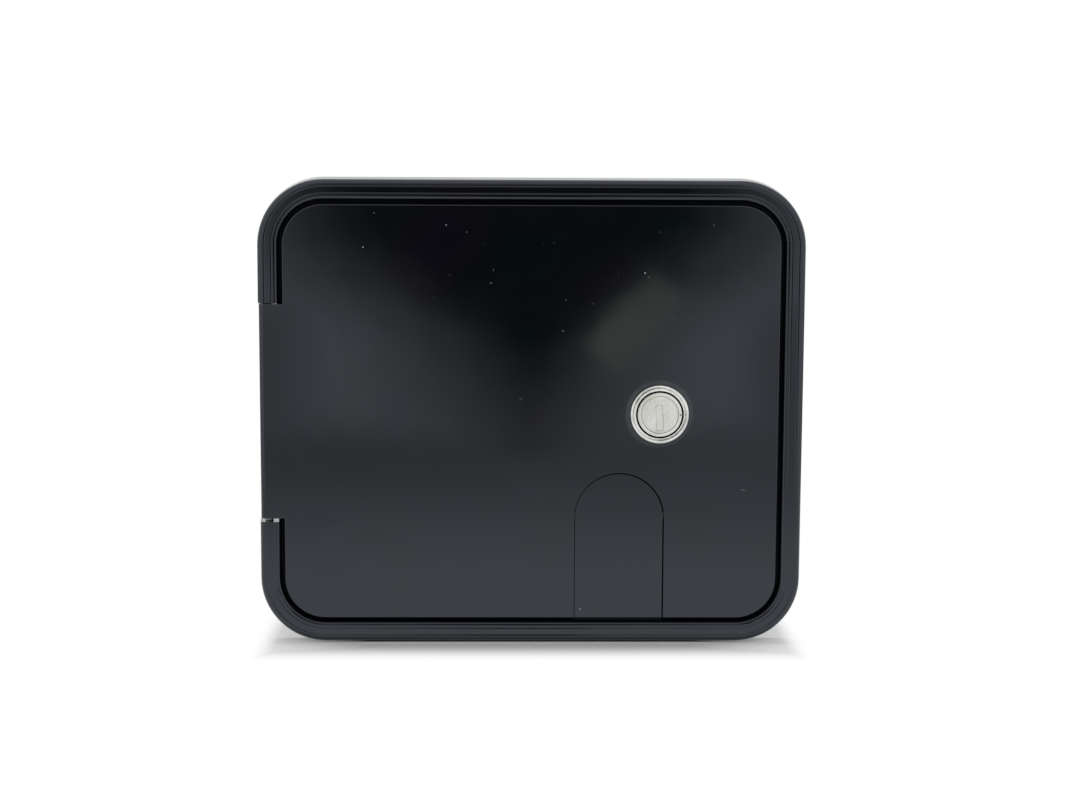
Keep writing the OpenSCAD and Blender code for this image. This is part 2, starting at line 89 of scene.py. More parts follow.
def new_material(name):
    """An empty material and its node tree."""
    made = bpy.data.materials.new(name)
    made.use_nodes = True
    made.node_tree.nodes.clear()
    return made, made.node_tree


# The camera stands low in front of the hatch, a little to the left, and looks slightly down.
CAMERA_AT = Vector((-11.33, -766.36, 102.01)) * MM
LOOKS_AT = Vector((3.073, -8.5, 3.305)) * MM
ROLL = math.radians(0.2785)
SENSOR = 36  # both in millimetres
LENS = 69.84


def place_camera():
    """Adds the camera, turned to the point it looks at and rolled a little."""
    forward = (LOOKS_AT - CAMERA_AT).normalized()
    right = forward.cross(Vector((0, 0, 1))).normalized()
    up = right.cross(forward)
    side = math.cos(ROLL) * right + math.sin(ROLL) * up
    top = -math.sin(ROLL) * right + math.cos(ROLL) * up
    data = bpy.data.cameras.new("camera")
    data.sensor_width = SENSOR
    data.sensor_fit = "HORIZONTAL"
    data.lens = LENS
    camera = bpy.data.objects.new("camera", data)
    camera.matrix_world = Matrix((side, top, -forward)).transposed().to_4x4()
    camera.location = CAMERA_AT
    bpy.context.scene.collection.objects.link(camera)
    bpy.context.scene.camera = camera


place_camera()


def make_world():
    """A white room, plain white to the eye and in gloss, with a soft fill for the rest."""
    world = bpy.data.worlds.new("white_room")
    world.use_nodes = True
    tree = world.node_tree
    tree.nodes.clear()
    path = add(tree, "LightPath")
    seen = add(tree, "Math", {0: path.outputs["Is Camera Ray"], 1: path.outputs["Is Glossy Ray"]},
               operation="MAXIMUM")
    seen = add(tree, "Math", {0: seen, 1: path.outputs["Is Transmission Ray"]}, operation="MAXIMUM")
    fill = add(tree, "Background", {"Color": linear("#f2f5f8"), "Strength": 0.3})
    white = add(tree, "Background", {"Color": (1, 1, 1, 1), "Strength": 1})
    mixed = add(tree, "MixShader", {0: seen, 1: fill, 2: white})
    add(tree, "OutputWorld", {"Surface": mixed})
    bpy.context.scene.world = world


def softbox(name, size, at, aims_at, power):
    """A soft lamp, in metres and watts. Gloss doesn't show it, as it shows the white room."""
    data = bpy.data.lights.new(name, "AREA")
    data.shape = "RECTANGLE"
    data.size, data.size_y = size
    data.energy = power
    lamp = bpy.data.objects.new(name, data)
    lamp.location = at
    lamp.rotation_euler = (Vector(aims_at) - Vector(at)).to_track_quat("-Z", "Y").to_euler()
    lamp.visible_glossy = False
    bpy.context.scene.collection.objects.link(lamp)


make_world()
softbox("overhead_strip", (1.4, 0.2), (0, 0.075, 1.25), (0, 0.075, 0), 14)
softbox("front_softbox", (1.4, 0.5), (0, -1.1, 1.0), (0, 0, 0), 6)


def deselect():
    """Deselects every object, because an operator acts on all that is selected."""
    bpy.ops.object.select_all(action="DESELECT")


def stage_plane(name, size, at, turn=(0, 0, 0)):
    """A flat stage piece with its place in its mesh."""
    deselect()
    bpy.ops.mesh.primitive_plane_add(size=1, location=at, rotation=turn)
    plane = bpy.context.object
    plane.scale = (size[0], size[1], 1)
    bpy.ops.object.transform_apply(location=True, rotation=True, scale=True)
    plane.name = name
    return plane


def gloss_only(card):
    """Lets only reflections see a card."""
    card.visible_camera = card.visible_diffuse = card.visible_shadow = False
    card.visible_transmission = card.visible_volume_scatter = False


def paper_sweep():
    """White paper: it keeps the hatch's soft shade close by and is plain white further off.
    In the gloss the white glow starts sooner: painted light that brightens the flange's lower rounding."""
    made, tree = new_material("white_paper_sweep")
    coords = add(tree, "TexCoord")
    place = add(tree, "SeparateXYZ", {0: coords.outputs["Object"]})
    # the shade thins towards both ends of the hatch and stops at its corners
    side = add(tree, "Math", {0: place.outputs["X"]}, operation="ABSOLUTE")
    corner = add(tree, "MapRange", {"Value": side, "From Min": 88 * MM, "From Max": 102 * MM},
                 interpolation_type="SMOOTHSTEP")
    side = add(tree, "MapRange", {"Value": side, "From Min": 60 * MM, "From Max": 110 * MM,
                                  "To Max": 0.56})
    side = add(tree, "Math", {0: side, 1: corner}, operation="MAXIMUM")
    # it ends in front and behind under the white glow, and in the gloss it ends sooner, as painted light
    deep = add(tree, "Math", {0: place.outputs["Y"]}, operation="ABSOLUTE")
    path = add(tree, "LightPath")
    sheen = path.outputs["Is Glossy Ray"]
    begin = add(tree, "MapRange", {"Value": sheen, "To Min": 13.5 * MM, "To Max": 5 * MM})
    full = add(tree, "MapRange", {"Value": sheen, "To Min": 36 * MM, "To Max": 20 * MM})
    front = add(tree, "MapRange", {"Value": deep, "From Min": begin, "From Max": full},
                interpolation_type="SMOOTHSTEP")
    # painted light: a little white glow keeps the shade thin right up to the dark line of contact
    foot = add(tree, "MapRange", {"Value": place.outputs["Y"], "From Min": -5.2 * MM,
                                  "From Max": -7.6 * MM, "To Max": 0.17}, interpolation_type="SMOOTHSTEP")
    thin = add(tree, "MapRange", {"Value": place.outputs["Y"], "From Min": -11 * MM,
                                  "From Max": -7.6 * MM}, interpolation_type="SMOOTHSTEP")
    foot = add(tree, "Math", {0: foot, 1: thin}, operation="MULTIPLY")
    far = add(tree, "Math", {0: side, 1: front}, operation="MAXIMUM")
    far = add(tree, "Math", {0: far, 1: foot}, operation="MAXIMUM")
    seen = add(tree, "Math", {0: path.outputs["Is Camera Ray"], 1: sheen}, operation="MAXIMUM")
    far = add(tree, "Math", {0: far, 1: seen}, operation="MULTIPLY")
    # the paper is drawn grey, which deepens the hatch's shade close by: painted shade
    paper = add(tree, "BsdfDiffuse", {"Color": linear("#d3d3d4")})
    # painted shade in the gloss: the paper's glow dims as far as the dark card, which casts no shadow
    # itself
    painted_gloss_shade = add(tree, "MapRange", {"Value": place.outputs["Y"], "From Min": -110 * MM,
                                   "From Max": -320 * MM, "To Max": 0.32}, interpolation_type="SMOOTHSTEP")
    nearer = add(tree, "Math", {0: place.outputs["Y"], 1: CARD_Y}, operation="GREATER_THAN")
    painted_gloss_shade = add(tree, "Math", {0: painted_gloss_shade, 1: nearer}, operation="MULTIPLY")
    painted_gloss_shade = add(tree, "Math", {0: painted_gloss_shade, 1: sheen}, operation="MULTIPLY")
    level = add(tree, "Math", {0: 1.0, 1: painted_gloss_shade}, operation="SUBTRACT")
    glow = add(tree, "Emission", {"Color": (1, 1, 1, 1), "Strength": level})
    mixed = add(tree, "MixShader", {0: far, 1: paper, 2: glow})
    add(tree, "OutputMaterial", {"Surface": mixed})
    return made


floor = stage_plane("floor", (8, 8), (0, 0, FLOOR_Z))
floor.data.materials.append(paper_sweep())


def black_where(tree, mask, light=(1, 1, 1, 1)):
    """Ends a gloss-only card's material, a painted reflection: black where the mask is 1, and
    light of a colour, white unless it is said, where the mask is 0."""
    dark = add(tree, "BsdfDiffuse", {"Color": (0, 0, 0, 1)})
    clear = add(tree, "BsdfTransparent", {"Color": light})
    mixed = add(tree, "MixShader", {0: mask, 1: clear, 2: dark})
    add(tree, "OutputMaterial", {"Surface": mixed})


def dark_card():
    """A painted reflection of the dark of the room behind the camera, which the gloss shows
    as a soft V, on a card that only gloss sees. Its pattern is in millimetres of the door that mirrors it."""
    reach = (CARD_Y - FRONT_Y) / (CAMERA_AT.y - FRONT_Y)
    card = stage_plane("dark_card", (0.36, 0.426), (0, CARD_Y, 0.127), (math.radians(90), 0, 0))
    made, tree = new_material("painted_reflection_card")
    card.data.materials.append(made)
    coords = add(tree, "TexCoord").outputs["Object"]
    door = add(tree, "VectorMath", {0: coords, 1: (1 / MM / (1 + reach),) * 3,
                                    2: CAMERA_AT / MM * (reach / (1 + reach))},
               operation="MULTIPLY_ADD")
    door = add(tree, "SeparateXYZ", {0: door})
    x, z = door.outputs["X"], door.outputs["Z"]
    off = add(tree, "Math", {0: x}, operation="ABSOLUTE")
    # the V is narrow at the lock's height and widens upwards
    inner = add(tree, "MapRange", {"Value": z, "From Min": -5.0, "From Max": 70.0,
                                   "To Min": -45.0, "To Max": 50.0})
    outer = add(tree, "MapRange", {"Value": z, "From Min": 25.0, "From Max": 60.0,
                                   "To Min": 82.0, "To Max": 125.0}, interpolation_type="SMOOTHSTEP")
    # its left arm is the wider one
    left = add(tree, "Math", {0: x, 1: -0.9}, operation="MULTIPLY")
    arm = add(tree, "Math", {0: x, 1: left}, operation="MAXIMUM")
    core = add(tree, "MapRange", {"Value": arm, "From Min": outer, "From Max": inner},
               interpolation_type="SMOOTHSTEP")
    foot = add(tree, "MapRange", {"Value": z, "From Min": -34.0, "From Max": -10.0},
               interpolation_type="SMOOTHSTEP")
    core = add(tree, "Math", {0: core, 1: foot}, operation="MULTIPLY")
    # a painted reflection of light beside the camera: a pale bar that leans to the right
    spot = add(tree, "CombineXYZ", {"X": x, "Y": z})
    spot = add(tree, "Mapping", {"Vector": spot, "Location": (37.1, 33.6, 0),
                                 "Rotation": (0, 0, math.radians(46))}, vector_type="TEXTURE")
    spot = add(tree, "SeparateXYZ", {0: spot})
    along = add(tree, "Math", {0: spot.outputs["X"]}, operation="ABSOLUTE")
    along = add(tree, "MapRange", {"Value": along, "From Min": 20.5, "From Max": 16.5},
                interpolation_type="SMOOTHSTEP")
    across = add(tree, "Math", {0: spot.outputs["Y"]}, operation="ABSOLUTE")
    across = add(tree, "MapRange", {"Value": across, "From Min": 9.3, "From Max": 7.7},
                 interpolation_type="SMOOTHSTEP")
    bar = add(tree, "Math", {0: along, 1: across}, operation="MULTIPLY")
    light = add(tree, "Mix", {0: bar, 6: linear("#ffffff"), 7: linear("#f8f8e0")},
                data_type="RGBA").outputs[2]
    bar = add(tree, "Math", {0: bar, 1: -0.74, 2: 1.0}, operation="MULTIPLY_ADD")
    core = add(tree, "Math", {0: core, 1: bar}, operation="MULTIPLY")
    # the floor's far half is dimmer, most of all on the left, and so are both sides at the
    # height of the lock
    dim = add(tree, "MapRange", {"Value": x, "From Min": -20.0, "From Max": 65.0,
                                 "To Min": 0.53, "To Max": 0.42})
    low = add(tree, "MapRange", {"Value": z, "From Min": -60.0, "From Max": -14.0, "To Max": dim},
              interpolation_type="SMOOTHSTEP")
    high = add(tree, "MapRange", {"Value": z, "From Min": 8.0, "From Max": -14.0},
               interpolation_type="SMOOTHSTEP")
    low = add(tree, "Math", {0: low, 1: high}, operation="MULTIPLY")
    edges = add(tree, "MapRange", {"Value": off, "From Min": 62.0, "From Max": 95.0, "To Max": 0.4},
                interpolation_type="SMOOTHSTEP")
    level = add(tree, "Math", {0: z, 1: 10.0}, operation="SUBTRACT")
    level = add(tree, "Math", {0: level}, operation="ABSOLUTE")
    level = add(tree, "MapRange", {"Value": level, "From Min": 42.0, "From Max": 22.0},
                interpolation_type="SMOOTHSTEP")
    edges = add(tree, "Math", {0: edges, 1: level}, operation="MULTIPLY")
    mask = add(tree, "Math", {0: core, 1: low}, operation="MAXIMUM")
    mask = add(tree, "Math", {0: mask, 1: edges}, operation="MAXIMUM")
    # above the hatch the room is only half dark
    above = add(tree, "MapRange", {"Value": z, "From Min": 84.0, "From Max": 110.0,
                                   "To Min": 1.0, "To Max": 0.6}, interpolation_type="SMOOTHSTEP")
    mask = add(tree, "Math", {0: mask, 1: above}, operation="MULTIPLY")
    # the card fades out at its top and at both sides
    end = add(tree, "MapRange", {"Value": z, "From Min": 262.0, "From Max": 190.0},
              interpolation_type="SMOOTHSTEP")
    mask = add(tree, "Math", {0: mask, 1: end}, operation="MULTIPLY")
    rim = add(tree, "MapRange", {"Value": off, "From Min": 127.0, "From Max": 102.0},
              interpolation_type="SMOOTHSTEP")
    mask = add(tree, "Math", {0: mask, 1: rim}, operation="MULTIPLY")
    black_where(tree, mask, light)
    gloss_only(card)


def side_flags():
    """Black flags behind the hatch on both sides that only gloss sees: a painted reflection that draws its
    lower outline dark.
    """
    made, tree = new_material("painted_reflection_flag")
    coords = add(tree, "TexCoord")
    place = add(tree, "SeparateXYZ", {0: coords.outputs["Object"]})
    mask = add(tree, "MapRange", {"Value": place.outputs["Z"], "From Min": 0.1, "From Max": -0.02},
               interpolation_type="SMOOTHSTEP")
    black_where(tree, mask)
    for side in (-1, 1):
        flag = stage_plane("side_flag", (1.3, 0.2), (side * 0.4, 0.75, 0.014),
                           (math.radians(90), 0, math.radians(90)))
        flag.data.materials.append(made)
        gloss_only(flag)


dark_card()
side_flags()


def gloss_abs(name, outer):
    """Moulded black ABS, polished outside and spark-eroded behind. The eye sees a black
    mirror with slow waves and wipe marks, and dull fine grain on the hidden sides. The
    flange is polished round its outer wall as well."""
    made, tree = new_material(name)
    coords = add(tree, "TexCoord").outputs["Object"]
    place = add(tree, "SeparateXYZ", {0: coords})
    # the polish ends about 1 mm behind the front
    behind = add(tree, "MapRange", {"Value": place.outputs["Y"], "From Min": -7.6 * MM,
                                    "From Max": -6.8 * MM}, interpolation_type="SMOOTHSTEP")
    if outer:
        # the polish runs round the rim's outer wall, its rounded corners and the notch too
        around = add(tree, "VectorMath", {0: coords}, operation="ABSOLUTE")
        around = add(tree, "VectorMath", {0: around, 1: (RIM_ARC[0] * MM, 0, RIM_ARC[1] * MM)},
                     operation="SUBTRACT")
        around = add(tree, "VectorMath", {0: around, 1: (0, 0, 0)}, operation="MAXIMUM")
        around = add(tree, "VectorMath", {0: around, 1: (1, 0, 1)}, operation="MULTIPLY")
        around = add(tree, "VectorMath", {0: around}, operation="LENGTH").outputs["Value"]
        side = add(tree, "Math", {0: around, 1: (RIM_R - 3.5) * MM}, operation="SUBTRACT")
        notch = add(tree, "Math", {0: place.outputs["X"], 1: -1.0, 2: -92.6 * MM}, operation="MULTIPLY_ADD")
        side = add(tree, "Math", {0: side, 1: notch}, operation="MAXIMUM")
        side = add(tree, "Math", {0: side, 1: 0.0}, operation="LESS_THAN")
        back = add(tree, "Math", {0: place.outputs["Y"], 1: -0.3 * MM}, operation="GREATER_THAN")
        side = add(tree, "Math", {0: side, 1: back}, operation="MAXIMUM")
        behind = add(tree, "Math", {0: behind, 1: side}, operation="MULTIPLY")
    # wipe marks about 20 mm across, in the gloss alone
    smear = add(tree, "TexNoise", {"Vector": coords, "Scale": 45, "Detail": 5, "Roughness": 0.6})
    gloss = add(tree, "MapRange", {"Value": smear, "From Min": 0.3, "From Max": 0.7,
                                   "To Min": 0.07, "To Max": 0.13})
    rough = add(tree, "Mix", {0: behind, 2: gloss, 3: 0.62})
    lustre = add(tree, "MapRange", {"Value": behind, "To Min": 0.5, "To Max": 0.16})
    # sink marks and waves of a thin moulded wall, some 60 mm long
    slow = add(tree, "TexNoise", {"Vector": coords, "Scale": 20, "Detail": 2})
    waves = add(tree, "Bump", {"Height": slow, "Strength": 0.14, "Distance": 0.002})
    # spark-eroded grain, drawn at about 0.4 mm so that it shows
    grit = add(tree, "TexNoise", {"Vector": coords, "Scale": 2200, "Detail": 2})
    grain = add(tree, "Math", {0: behind, 1: 0.35}, operation="MULTIPLY")
    bump = add(tree, "Bump", {"Height": grit, "Strength": grain, "Distance": 0.0002, "Normal": waves})
    # moulding haze: the black leans to green here and to violet there, some 40 mm across
    haze = add(tree, "TexNoise", {"Vector": coords, "Scale": 24, "Detail": 2})
    haze = add(tree, "MapRange", {"Value": haze, "From Min": 0.35, "From Max": 0.65})
    colour = add(tree, "Mix", {0: haze, 6: linear("#0b1314"), 7: linear("#120f17")},
                 data_type="RGBA").outputs[2]
    # the eroded skin behind is a lighter grey, and painted shade keeps it black in the gaps, by their
    # occlusion
    open_air = add(tree, "AmbientOcclusion", {"Distance": 5 * MM}, samples=8)
    grey = add(tree, "MapRange", {"Value": open_air.outputs["AO"], "From Min": 0.6, "From Max": 0.95})
    grey = add(tree, "Math", {0: grey, 1: behind}, operation="MULTIPLY")
    colour = add(tree, "Mix", {0: grey, 6: colour, 7: linear("#25272a")}, data_type="RGBA").outputs[2]
    # a painted reflection of the ring: a lighter band 2 mm wide round the lock, in patches, most of it at
    # its upper left
    lock = add(tree, "VectorMath", {0: coords, 1: LOCK_AXIS + Vector((0, FRONT_Y, 0))},
               operation="DISTANCE")
    ring_reflection = add(tree, "MapRange", {"Value": lock.outputs["Value"], "From Min": 12.9 * MM,
                                    "From Max": 12.0 * MM}, interpolation_type="SMOOTHSTEP")
    patch = add(tree, "TexNoise", {"Vector": coords, "Scale": 180, "Detail": 4})
    ring_reflection = add(tree, "Math", {0: ring_reflection, 1: patch}, operation="MULTIPLY")
    lean = add(tree, "VectorMath", {0: coords, 1: (-0.7, 0, 0.7)},
               operation="DOT_PRODUCT").outputs["Value"]
    lean = add(tree, "MapRange", {"Value": lean, "From Min": -46 * MM, "From Max": -20 * MM,
                                  "To Min": 0.8, "To Max": 1.5})
    ring_reflection = add(tree, "Math", {0: ring_reflection, 1: lean}, operation="MULTIPLY")
    colour = add(tree, "Mix", {0: ring_reflection, 6: colour, 7: linear("#484b4b")}, data_type="RGBA").outputs[2]
    shader = add(tree, "BsdfPrincipled", {"Base Color": colour, "Roughness": rough, "IOR": 1.6,
                                          "Specular IOR Level": lustre, "Specular Tint": linear("#e9f3ff"),
                                          "Normal": bump})
    add(tree, "OutputMaterial", {"Surface": shader})
    return made


def seal_rubber():
    """Extruded EPDM rubber: matt black with a faint grey bloom."""
    made, tree = new_material("matt_epdm_rubber")
    coords = add(tree, "TexCoord").outputs["Object"]
    # bloom in patches of 11 mm
    bloom = add(tree, "TexNoise", {"Vector": coords, "Scale": 90, "Detail": 4})
    bloom = add(tree, "MapRange", {"Value": bloom, "From Min": 0.35, "From Max": 0.75})
    colour = add(tree, "Mix", {0: bloom, 6: linear("#141414"), 7: linear("#222221")},
                 data_type="RGBA").outputs[2]
    # the skin's fine grain, drawn at about 0.7 mm so that it shows
    skin = add(tree, "TexNoise", {"Vector": coords, "Scale": 1500, "Detail": 2})
    bump = add(tree, "Bump", {"Height": skin, "Strength": 0.25, "Distance": 0.0002})
    shader = add(tree, "BsdfPrincipled", {"Base Color": colour, "Roughness": 0.78, "IOR": 1.5,
                                          "Normal": bump})
    add(tree, "OutputMaterial", {"Surface": shader})
    return made


def turned_nickel(name, dark, pale, shine, coarse, punch_x):
    """Nickel plate over turned zinc: bright and slightly warm, with fine turning rings, a
    cloudy wear, painted shade in the corners and one punched dot beside the axis."""
    made, tree = new_material(name)
    coords = add(tree, "TexCoord").outputs["Object"]
    centred = add(tree, "VectorMath", {0: coords, 1: LOCK_AXIS}, operation="SUBTRACT")
    # seen along the axis
    flat = add(tree, "VectorMath", {0: centred, 1: (1, 0, 1)}, operation="MULTIPLY")
    radius = add(tree, "VectorMath", {0: flat}, operation="LENGTH").outputs["Value"]
    # turning rings 0.2 mm apart
    rings = add(tree, "TexNoise", {"W": radius, "Scale": 5000, "Detail": 2}, noise_dimensions="1D")
    # worn clouds 4 mm across, with specks in them
    cloud = add(tree, "TexNoise", {"Vector": coords, "Scale": 250, "Detail": 6, "Roughness": 0.72})
    tone = add(tree, "MapRange", {"Value": cloud, "From Min": 0.37, "From Max": 0.63})
    colour = add(tree, "Mix", {0: tone, 6: linear(dark), 7: linear(pale)}, data_type="RGBA").outputs[2]
    # painted shade: within 1.1 mm of a corner the colour darkens to near black, by its occlusion, and is
    # rough and not metal there
    open_air = add(tree, "AmbientOcclusion", {"Distance": 1.1 * MM}, samples=8)
    corner_shade = add(tree, "MapRange", {"Value": open_air.outputs["AO"], "From Min": 0.9, "From Max": 0.6})
    corner_shaded = add(tree, "Mix", {0: corner_shade, 6: colour, 7: linear("#0c0c0b")}, data_type="RGBA")
    dot = add(tree, "VectorMath", {0: flat, 1: (punch_x * MM, 0, 0)}, operation="DISTANCE")
    dot = add(tree, "MapRange", {"Value": dot.outputs["Value"], "From Min": 0.34 * MM, "From Max": 0.2 * MM,
                                 "To Max": 0.8})
    colour = add(tree, "Mix", {0: dot, 6: corner_shaded.outputs[2], 7: linear("#55544f")}, data_type="RGBA")
    rough = add(tree, "MapRange", {"Value": cloud, "From Min": 0.3, "From Max": 0.7,
                                   "To Min": shine, "To Max": shine + 0.12})
    rough = add(tree, "Mix", {0: corner_shade, 2: rough, 3: 0.85})
    ringed = add(tree, "Bump", {"Height": rings, "Strength": coarse, "Distance": 0.0001})
    bump = add(tree, "Bump", {"Height": cloud, "Strength": 0.2, "Distance": 0.0004, "Normal": ringed})
    unshaded = add(tree, "Math", {0: 1.0, 1: corner_shade}, operation="SUBTRACT")
    shader = add(tree, "BsdfPrincipled", {"Base Color": colour.outputs[2], "Metallic": unshaded,
                                          "Roughness": rough, "Normal": bump})
    add(tree, "OutputMaterial", {"Surface": shader})
    return made


def drawn_stainless():
    """Drawn stainless rod: a grey, half-bright skin with fine lines along its length, and
    painted shade where it runs in a gap."""
    made, tree = new_material("drawn_stainless_rod")
    coords = add(tree, "TexCoord").outputs["Object"]
    # drawing lines 0.25 mm apart and some 12 mm long
    drawn = add(tree, "Mapping", {"Vector": coords, "Scale": (1, 1, 0.02)})
    lines = add(tree, "TexNoise", {"Vector": drawn, "Scale": 4000, "Detail": 2})
    bump = add(tree, "Bump", {"Height": lines, "Strength": 0.3, "Distance": 0.0001})
    # painted shade: within 0.45 mm of a gap's walls the colour darkens to near black, by their occlusion
    open_air = add(tree, "AmbientOcclusion", {"Distance": 0.45 * MM}, samples=8)
    gap_shade = add(tree, "MapRange", {"Value": open_air.outputs["AO"], "From Min": 0.9, "From Max": 0.5})
    colour = add(tree, "Mix", {0: gap_shade, 6: linear("#8d8e8c"), 7: linear("#101010")}, data_type="RGBA")
    unshaded = add(tree, "Math", {0: 1.0, 1: gap_shade}, operation="SUBTRACT")
    shader = add(tree, "BsdfPrincipled", {"Base Color": colour.outputs[2], "Metallic": unshaded,
                                          "Roughness": 0.38, "Normal": bump})
    add(tree, "OutputMaterial", {"Surface": shader})
    return made


def zinc_steel():
    """Zinc-plated pressed steel: blue-white, with a soft mottle and dull patches."""
    made, tree = new_material("zinc_plated_steel")
    coords = add(tree, "TexCoord").outputs["Object"]
    # the zinc's mottle in patches of 4 mm
    mottle = add(tree, "TexNoise", {"Vector": coords, "Scale": 260, "Detail": 5, "Roughness": 0.65})
    tone = add(tree, "MapRange", {"Value": mottle, "From Min": 0.3, "From Max": 0.7})
    colour = add(tree, "Mix", {0: tone, 6: linear("#a3a8ad"), 7: linear("#c6c8c6")},
                 data_type="RGBA").outputs[2]
    rough = add(tree, "MapRange", {"Value": mottle, "From Min": 0.3, "From Max": 0.7,
                                   "To Min": 0.28, "To Max": 0.45})
    bump = add(tree, "Bump", {"Height": mottle, "Strength": 0.12, "Distance": 0.0003})
    shader = add(tree, "BsdfPrincipled", {"Base Color": colour, "Metallic": 1.0, "Roughness": rough,
                                          "Normal": bump})
    add(tree, "OutputMaterial", {"Surface": shader})
    return made


def pale_dust():
    """Lint and dust: dry, pale grey and quite matt."""
    made, tree = new_material("pale_dust")
    coords = add(tree, "TexCoord").outputs["Object"]
    # each speck has a tone of its own, as the tone changes every 3 mm
    tone = add(tree, "TexNoise", {"Vector": coords, "Scale": 300, "Detail": 2})
    tone = add(tree, "MapRange", {"Value": tone, "From Min": 0.35, "From Max": 0.65})
    colour = add(tree, "Mix", {0: tone, 6: linear("#8f979b"), 7: linear("#d4d8d8")},
                 data_type="RGBA").outputs[2]
    shader = add(tree, "BsdfPrincipled", {"Base Color": colour, "Roughness": 0.95, "IOR": 1.45})
    add(tree, "OutputMaterial", {"Surface": shader})
    return made


ring_nickel = turned_nickel("satin_nickel_ring", "#cbcdca", "#eeefeb", 0.15, 0.2, 9.5)
plug_nickel = turned_nickel("satin_nickel_plug", "#ebeee5", "#fffffb", 0.1, 0.12, 7.5)
shutter_nickel = turned_nickel("bright_nickel_shutter", "#e8ebe2", "#fdfdf8", 0.1, 0.0, 30.0)
looks = {"black_plastic": gloss_abs("gloss_black_abs", False), "seal_rubber": seal_rubber(),
         "pin_steel": drawn_stainless(), "lock_plating": plug_nickel, "lock_steel": zinc_steel()}
node_looks = {"frame": gloss_abs("gloss_black_abs_flange", True), "key_shutter": shutter_nickel}
for part in frame["record"]["subparts"]:
    mesh = nodes[part["node"]].data
    mesh.materials.clear()
    mesh.materials.append(node_looks.get(part["node"], looks[part["material_slot"]]))


def settle(piece):
    """Puts a piece's place, turn and size into its mesh."""
    deselect()
    piece.select_set(True)
    bpy.context.view_layer.objects.active = piece
    bpy.ops.object.transform_apply(location=True, rotation=True, scale=True)


def outline(name, profile):
    """A plane drawn together to one point, which is then extruded along an outline of radii
    and depths in millimetres from the lock's axis, back to its start."""
    deselect()
    bpy.ops.mesh.primitive_plane_add(size=MM, location=LOCK_AXIS)
    piece = bpy.context.object
    piece.name = piece.data.name = name
    bpy.ops.object.mode_set(mode="EDIT")
    bpy.ops.mesh.merge(type="CENTER")
    bpy.ops.transform.translate(value=(profile[0][0] * MM, profile[0][1] * MM, 0))
    for here, there in zip(profile, profile[1:] + profile[:1]):
        step = ((there[0] - here[0]) * MM, (there[1] - here[1]) * MM, 0)
        bpy.ops.mesh.extrude_region_move(TRANSFORM_OT_translate={"value": step})
    return piece


def close_up():
    """Ends edit mode on a turned shape: merged, with its faces outwards and its ends filled."""
    bpy.ops.mesh.select_all(action="SELECT")
    bpy.ops.mesh.remove_doubles(threshold=1e-6)
    bpy.ops.mesh.fill_holes(sides=0)
    bpy.ops.mesh.select_all(action="SELECT")
    bpy.ops.mesh.normals_make_consistent(inside=False)
    bpy.ops.object.mode_set(mode="OBJECT")


def turned(name, profile, steps=96):
    """Turns an outline about the lock's axis."""
    piece = outline(name, profile)
    bpy.ops.mesh.select_all(action="SELECT")
    bpy.ops.mesh.spin(steps=steps, angle=2 * math.pi, center=LOCK_AXIS, axis=(0, 1, 0))
    close_up()
    settle(piece)
    return piece


def flatted(piece, half):
    """Cuts the two flats off a round body, that far from the axis in millimetres."""
    bpy.ops.object.mode_set(mode="EDIT")
    for side in (-1, 1):
        bpy.ops.mesh.select_all(action="SELECT")
        bpy.ops.mesh.bisect(plane_co=LOCK_AXIS + Vector((side * half * MM, 0, 0)), plane_no=(side, 0, 0),
                            use_fill=True, clear_outer=True)
    bpy.ops.object.mode_set(mode="OBJECT")


# The lock's housing, in millimetres: its bore, its barrel's radius and the flats' distance
# from the axis, the barrel's length behind the wall's face, and the thread's pitch
BORE_R = 6.05
BARREL_R = 9.0
FLAT_AT = 8.0
BARREL_END = 5.0
PITCH = 1.0


def threaded_housing():
    """The lock's housing as it is made: a rounded front ring with a chamfered mouth, a plain
    neck, and a barrel of 18 mm with a thread and two flats."""
    mouth = [(BORE_R, -8.2), (BORE_R, -8.5), (8.72, -8.5), (8.72, -9.96), (8.82, -10.06)]
    rounding = [(9.5 + 1.25 * math.sin(a), -9.45 - 0.85 * math.cos(a))
                for a in (math.radians(d) for d in (0, 12, 25, 40, 55, 72, 90))]
    ring = turned("threaded_housing", mouth + rounding + [(10.75, -8.2)])
    barrel = turned("lock_barrel", [(BORE_R, BARREL_END), (BORE_R, -8.2), (BARREL_R, -8.2), (BARREL_R, 1.0),
                                    (8.45, 1.3), (8.45, 4.7), (8.2, BARREL_END)])
    flatted(barrel, FLAT_AT)
    thread = outline("lock_thread", [(8.4, 1.1), (BARREL_R, 1.5), (BARREL_R, 1.62), (8.4, 2.02)])
    bpy.ops.mesh.select_all(action="SELECT")
    bpy.ops.mesh.remove_doubles(threshold=1e-6)
    bpy.ops.object.mode_set(mode="OBJECT")
    screw = thread.modifiers.new("thread", "SCREW")
    screw.axis = "Y"
    screw.angle = 2 * math.pi
    screw.screw_offset = PITCH * MM
    screw.iterations = 3
    screw.steps = screw.render_steps = 72
    bpy.ops.object.modifier_apply(modifier="thread")
    bpy.ops.object.mode_set(mode="EDIT")
    close_up()
    settle(thread)
    flatted(thread, FLAT_AT)
    deselect()
    for piece in (barrel, thread, ring):
        piece.select_set(True)
    bpy.context.view_layer.objects.active = ring
    bpy.ops.object.join()
    bpy.ops.object.shade_smooth_by_angle(angle=math.radians(28))
    ring.data.materials.append(ring_nickel)
    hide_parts("lock_housing")
    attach(ring, "door_body")


threaded_housing()


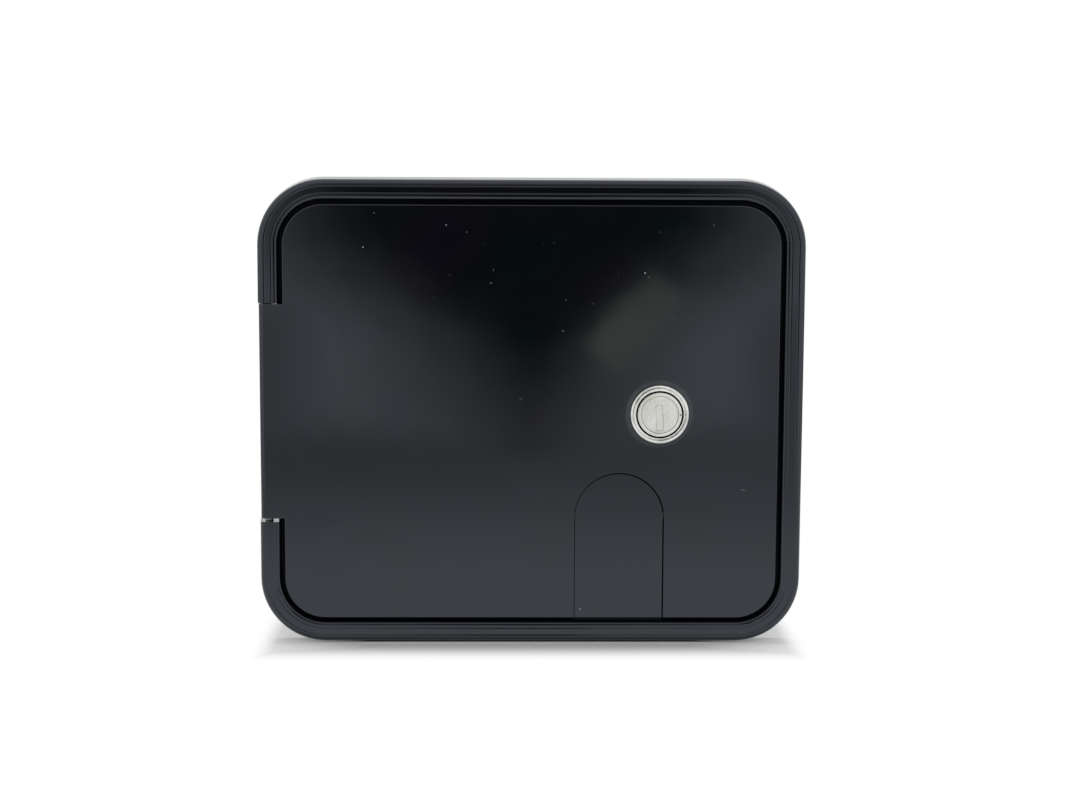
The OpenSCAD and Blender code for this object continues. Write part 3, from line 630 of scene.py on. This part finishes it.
def flake():
    """A speck 1 mm wide and 0.04 mm thick: an uneven six-sided flake with its back at y = 0."""
    deselect()
    bpy.ops.mesh.primitive_circle_add(vertices=6, radius=MM / 2, fill_type="NGON",
                                      rotation=(math.radians(90), 0, 0))
    speck = bpy.context.object
    bpy.ops.object.mode_set(mode="EDIT")
    bpy.ops.mesh.extrude_region_move(TRANSFORM_OT_translate={"value": (0, -0.04 * MM, 0)})
    bpy.ops.transform.resize(value=(0.7, 1, 0.6))
    bpy.ops.mesh.select_all(action="SELECT")
    bpy.ops.mesh.normals_make_consistent(inside=False)
    bpy.ops.object.mode_set(mode="OBJECT")
    settle(speck)
    return speck


def laid(speck, place, size, lean, thin=1.0):
    """A copy of the flake on the door's face, with its place and size in millimetres, its
    lean in degrees and its share of the flake's thickness."""
    copy = speck.copy()
    copy.data = speck.data.copy()
    bpy.context.scene.collection.objects.link(copy)
    copy.location = (place[0] * MM, FRONT_Y - 0.01 * MM, place[1] * MM)
    copy.rotation_euler.y = math.radians(lean)
    copy.scale = (size[0], thin, size[1])
    settle(copy)
    return copy


def dust_on_door():
    """Dust and lint that lie on the door, mostly on its upper half, and four short scratches."""
    chance = random.Random(7)
    first = flake()
    # the larger specks: x, z and width
    large = ((-31.1, 68.7, 0.5), (-23.6, 66.2, 0.35), (-14.9, 47.8, 0.5), (11.3, 30.4, 0.5),
             (40.9, 51.6, 0.65), (46.1, 66.4, 0.3), (65.6, 69.0, 0.35), (-61.1, 60.6, 0.6),
             (-57.0, 72.9, 0.35), (18.2, -72.7, 0.55))
    specks = [laid(first, (x, z), (size, size * 0.7), chance.uniform(0, 180)) for x, z, size in large]
    # fine dust, which the lock's surround is free of
    for _ in range(26):
        place = (chance.uniform(-80, 80), chance.triangular(0, 73, 60))
        if (Vector(place) - Vector((46.8, 0))).length > 14:
            size = chance.uniform(0.12, 0.24)
            specks.append(laid(first, place, (size, size), chance.uniform(0, 180)))
    # scratches: x, z, length, width and lean
    for x, z, length, width, lean in ((-3.9, 5.5, 1.3, 0.1, 40), (77.8, -28.0, 2.6, 0.08, 8),
                                      (33.0, -28.8, 0.9, 0.07, 20), (-14.0, 52.5, 1.1, 0.1, 75)):
        specks.append(laid(first, (x, z), (length, width), lean, 0.5))
    bpy.data.objects.remove(first)
    deselect()
    for speck in specks:
        speck.select_set(True)
    bpy.context.view_layer.objects.active = specks[0]
    bpy.ops.object.join()
    dust = specks[0]
    dust.name = dust.data.name = "dust_on_door"
    dust.data.materials.append(pale_dust())
    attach(dust, "door_body")


dust_on_door()

bpy.context.scene.view_settings.view_transform = "Standard"
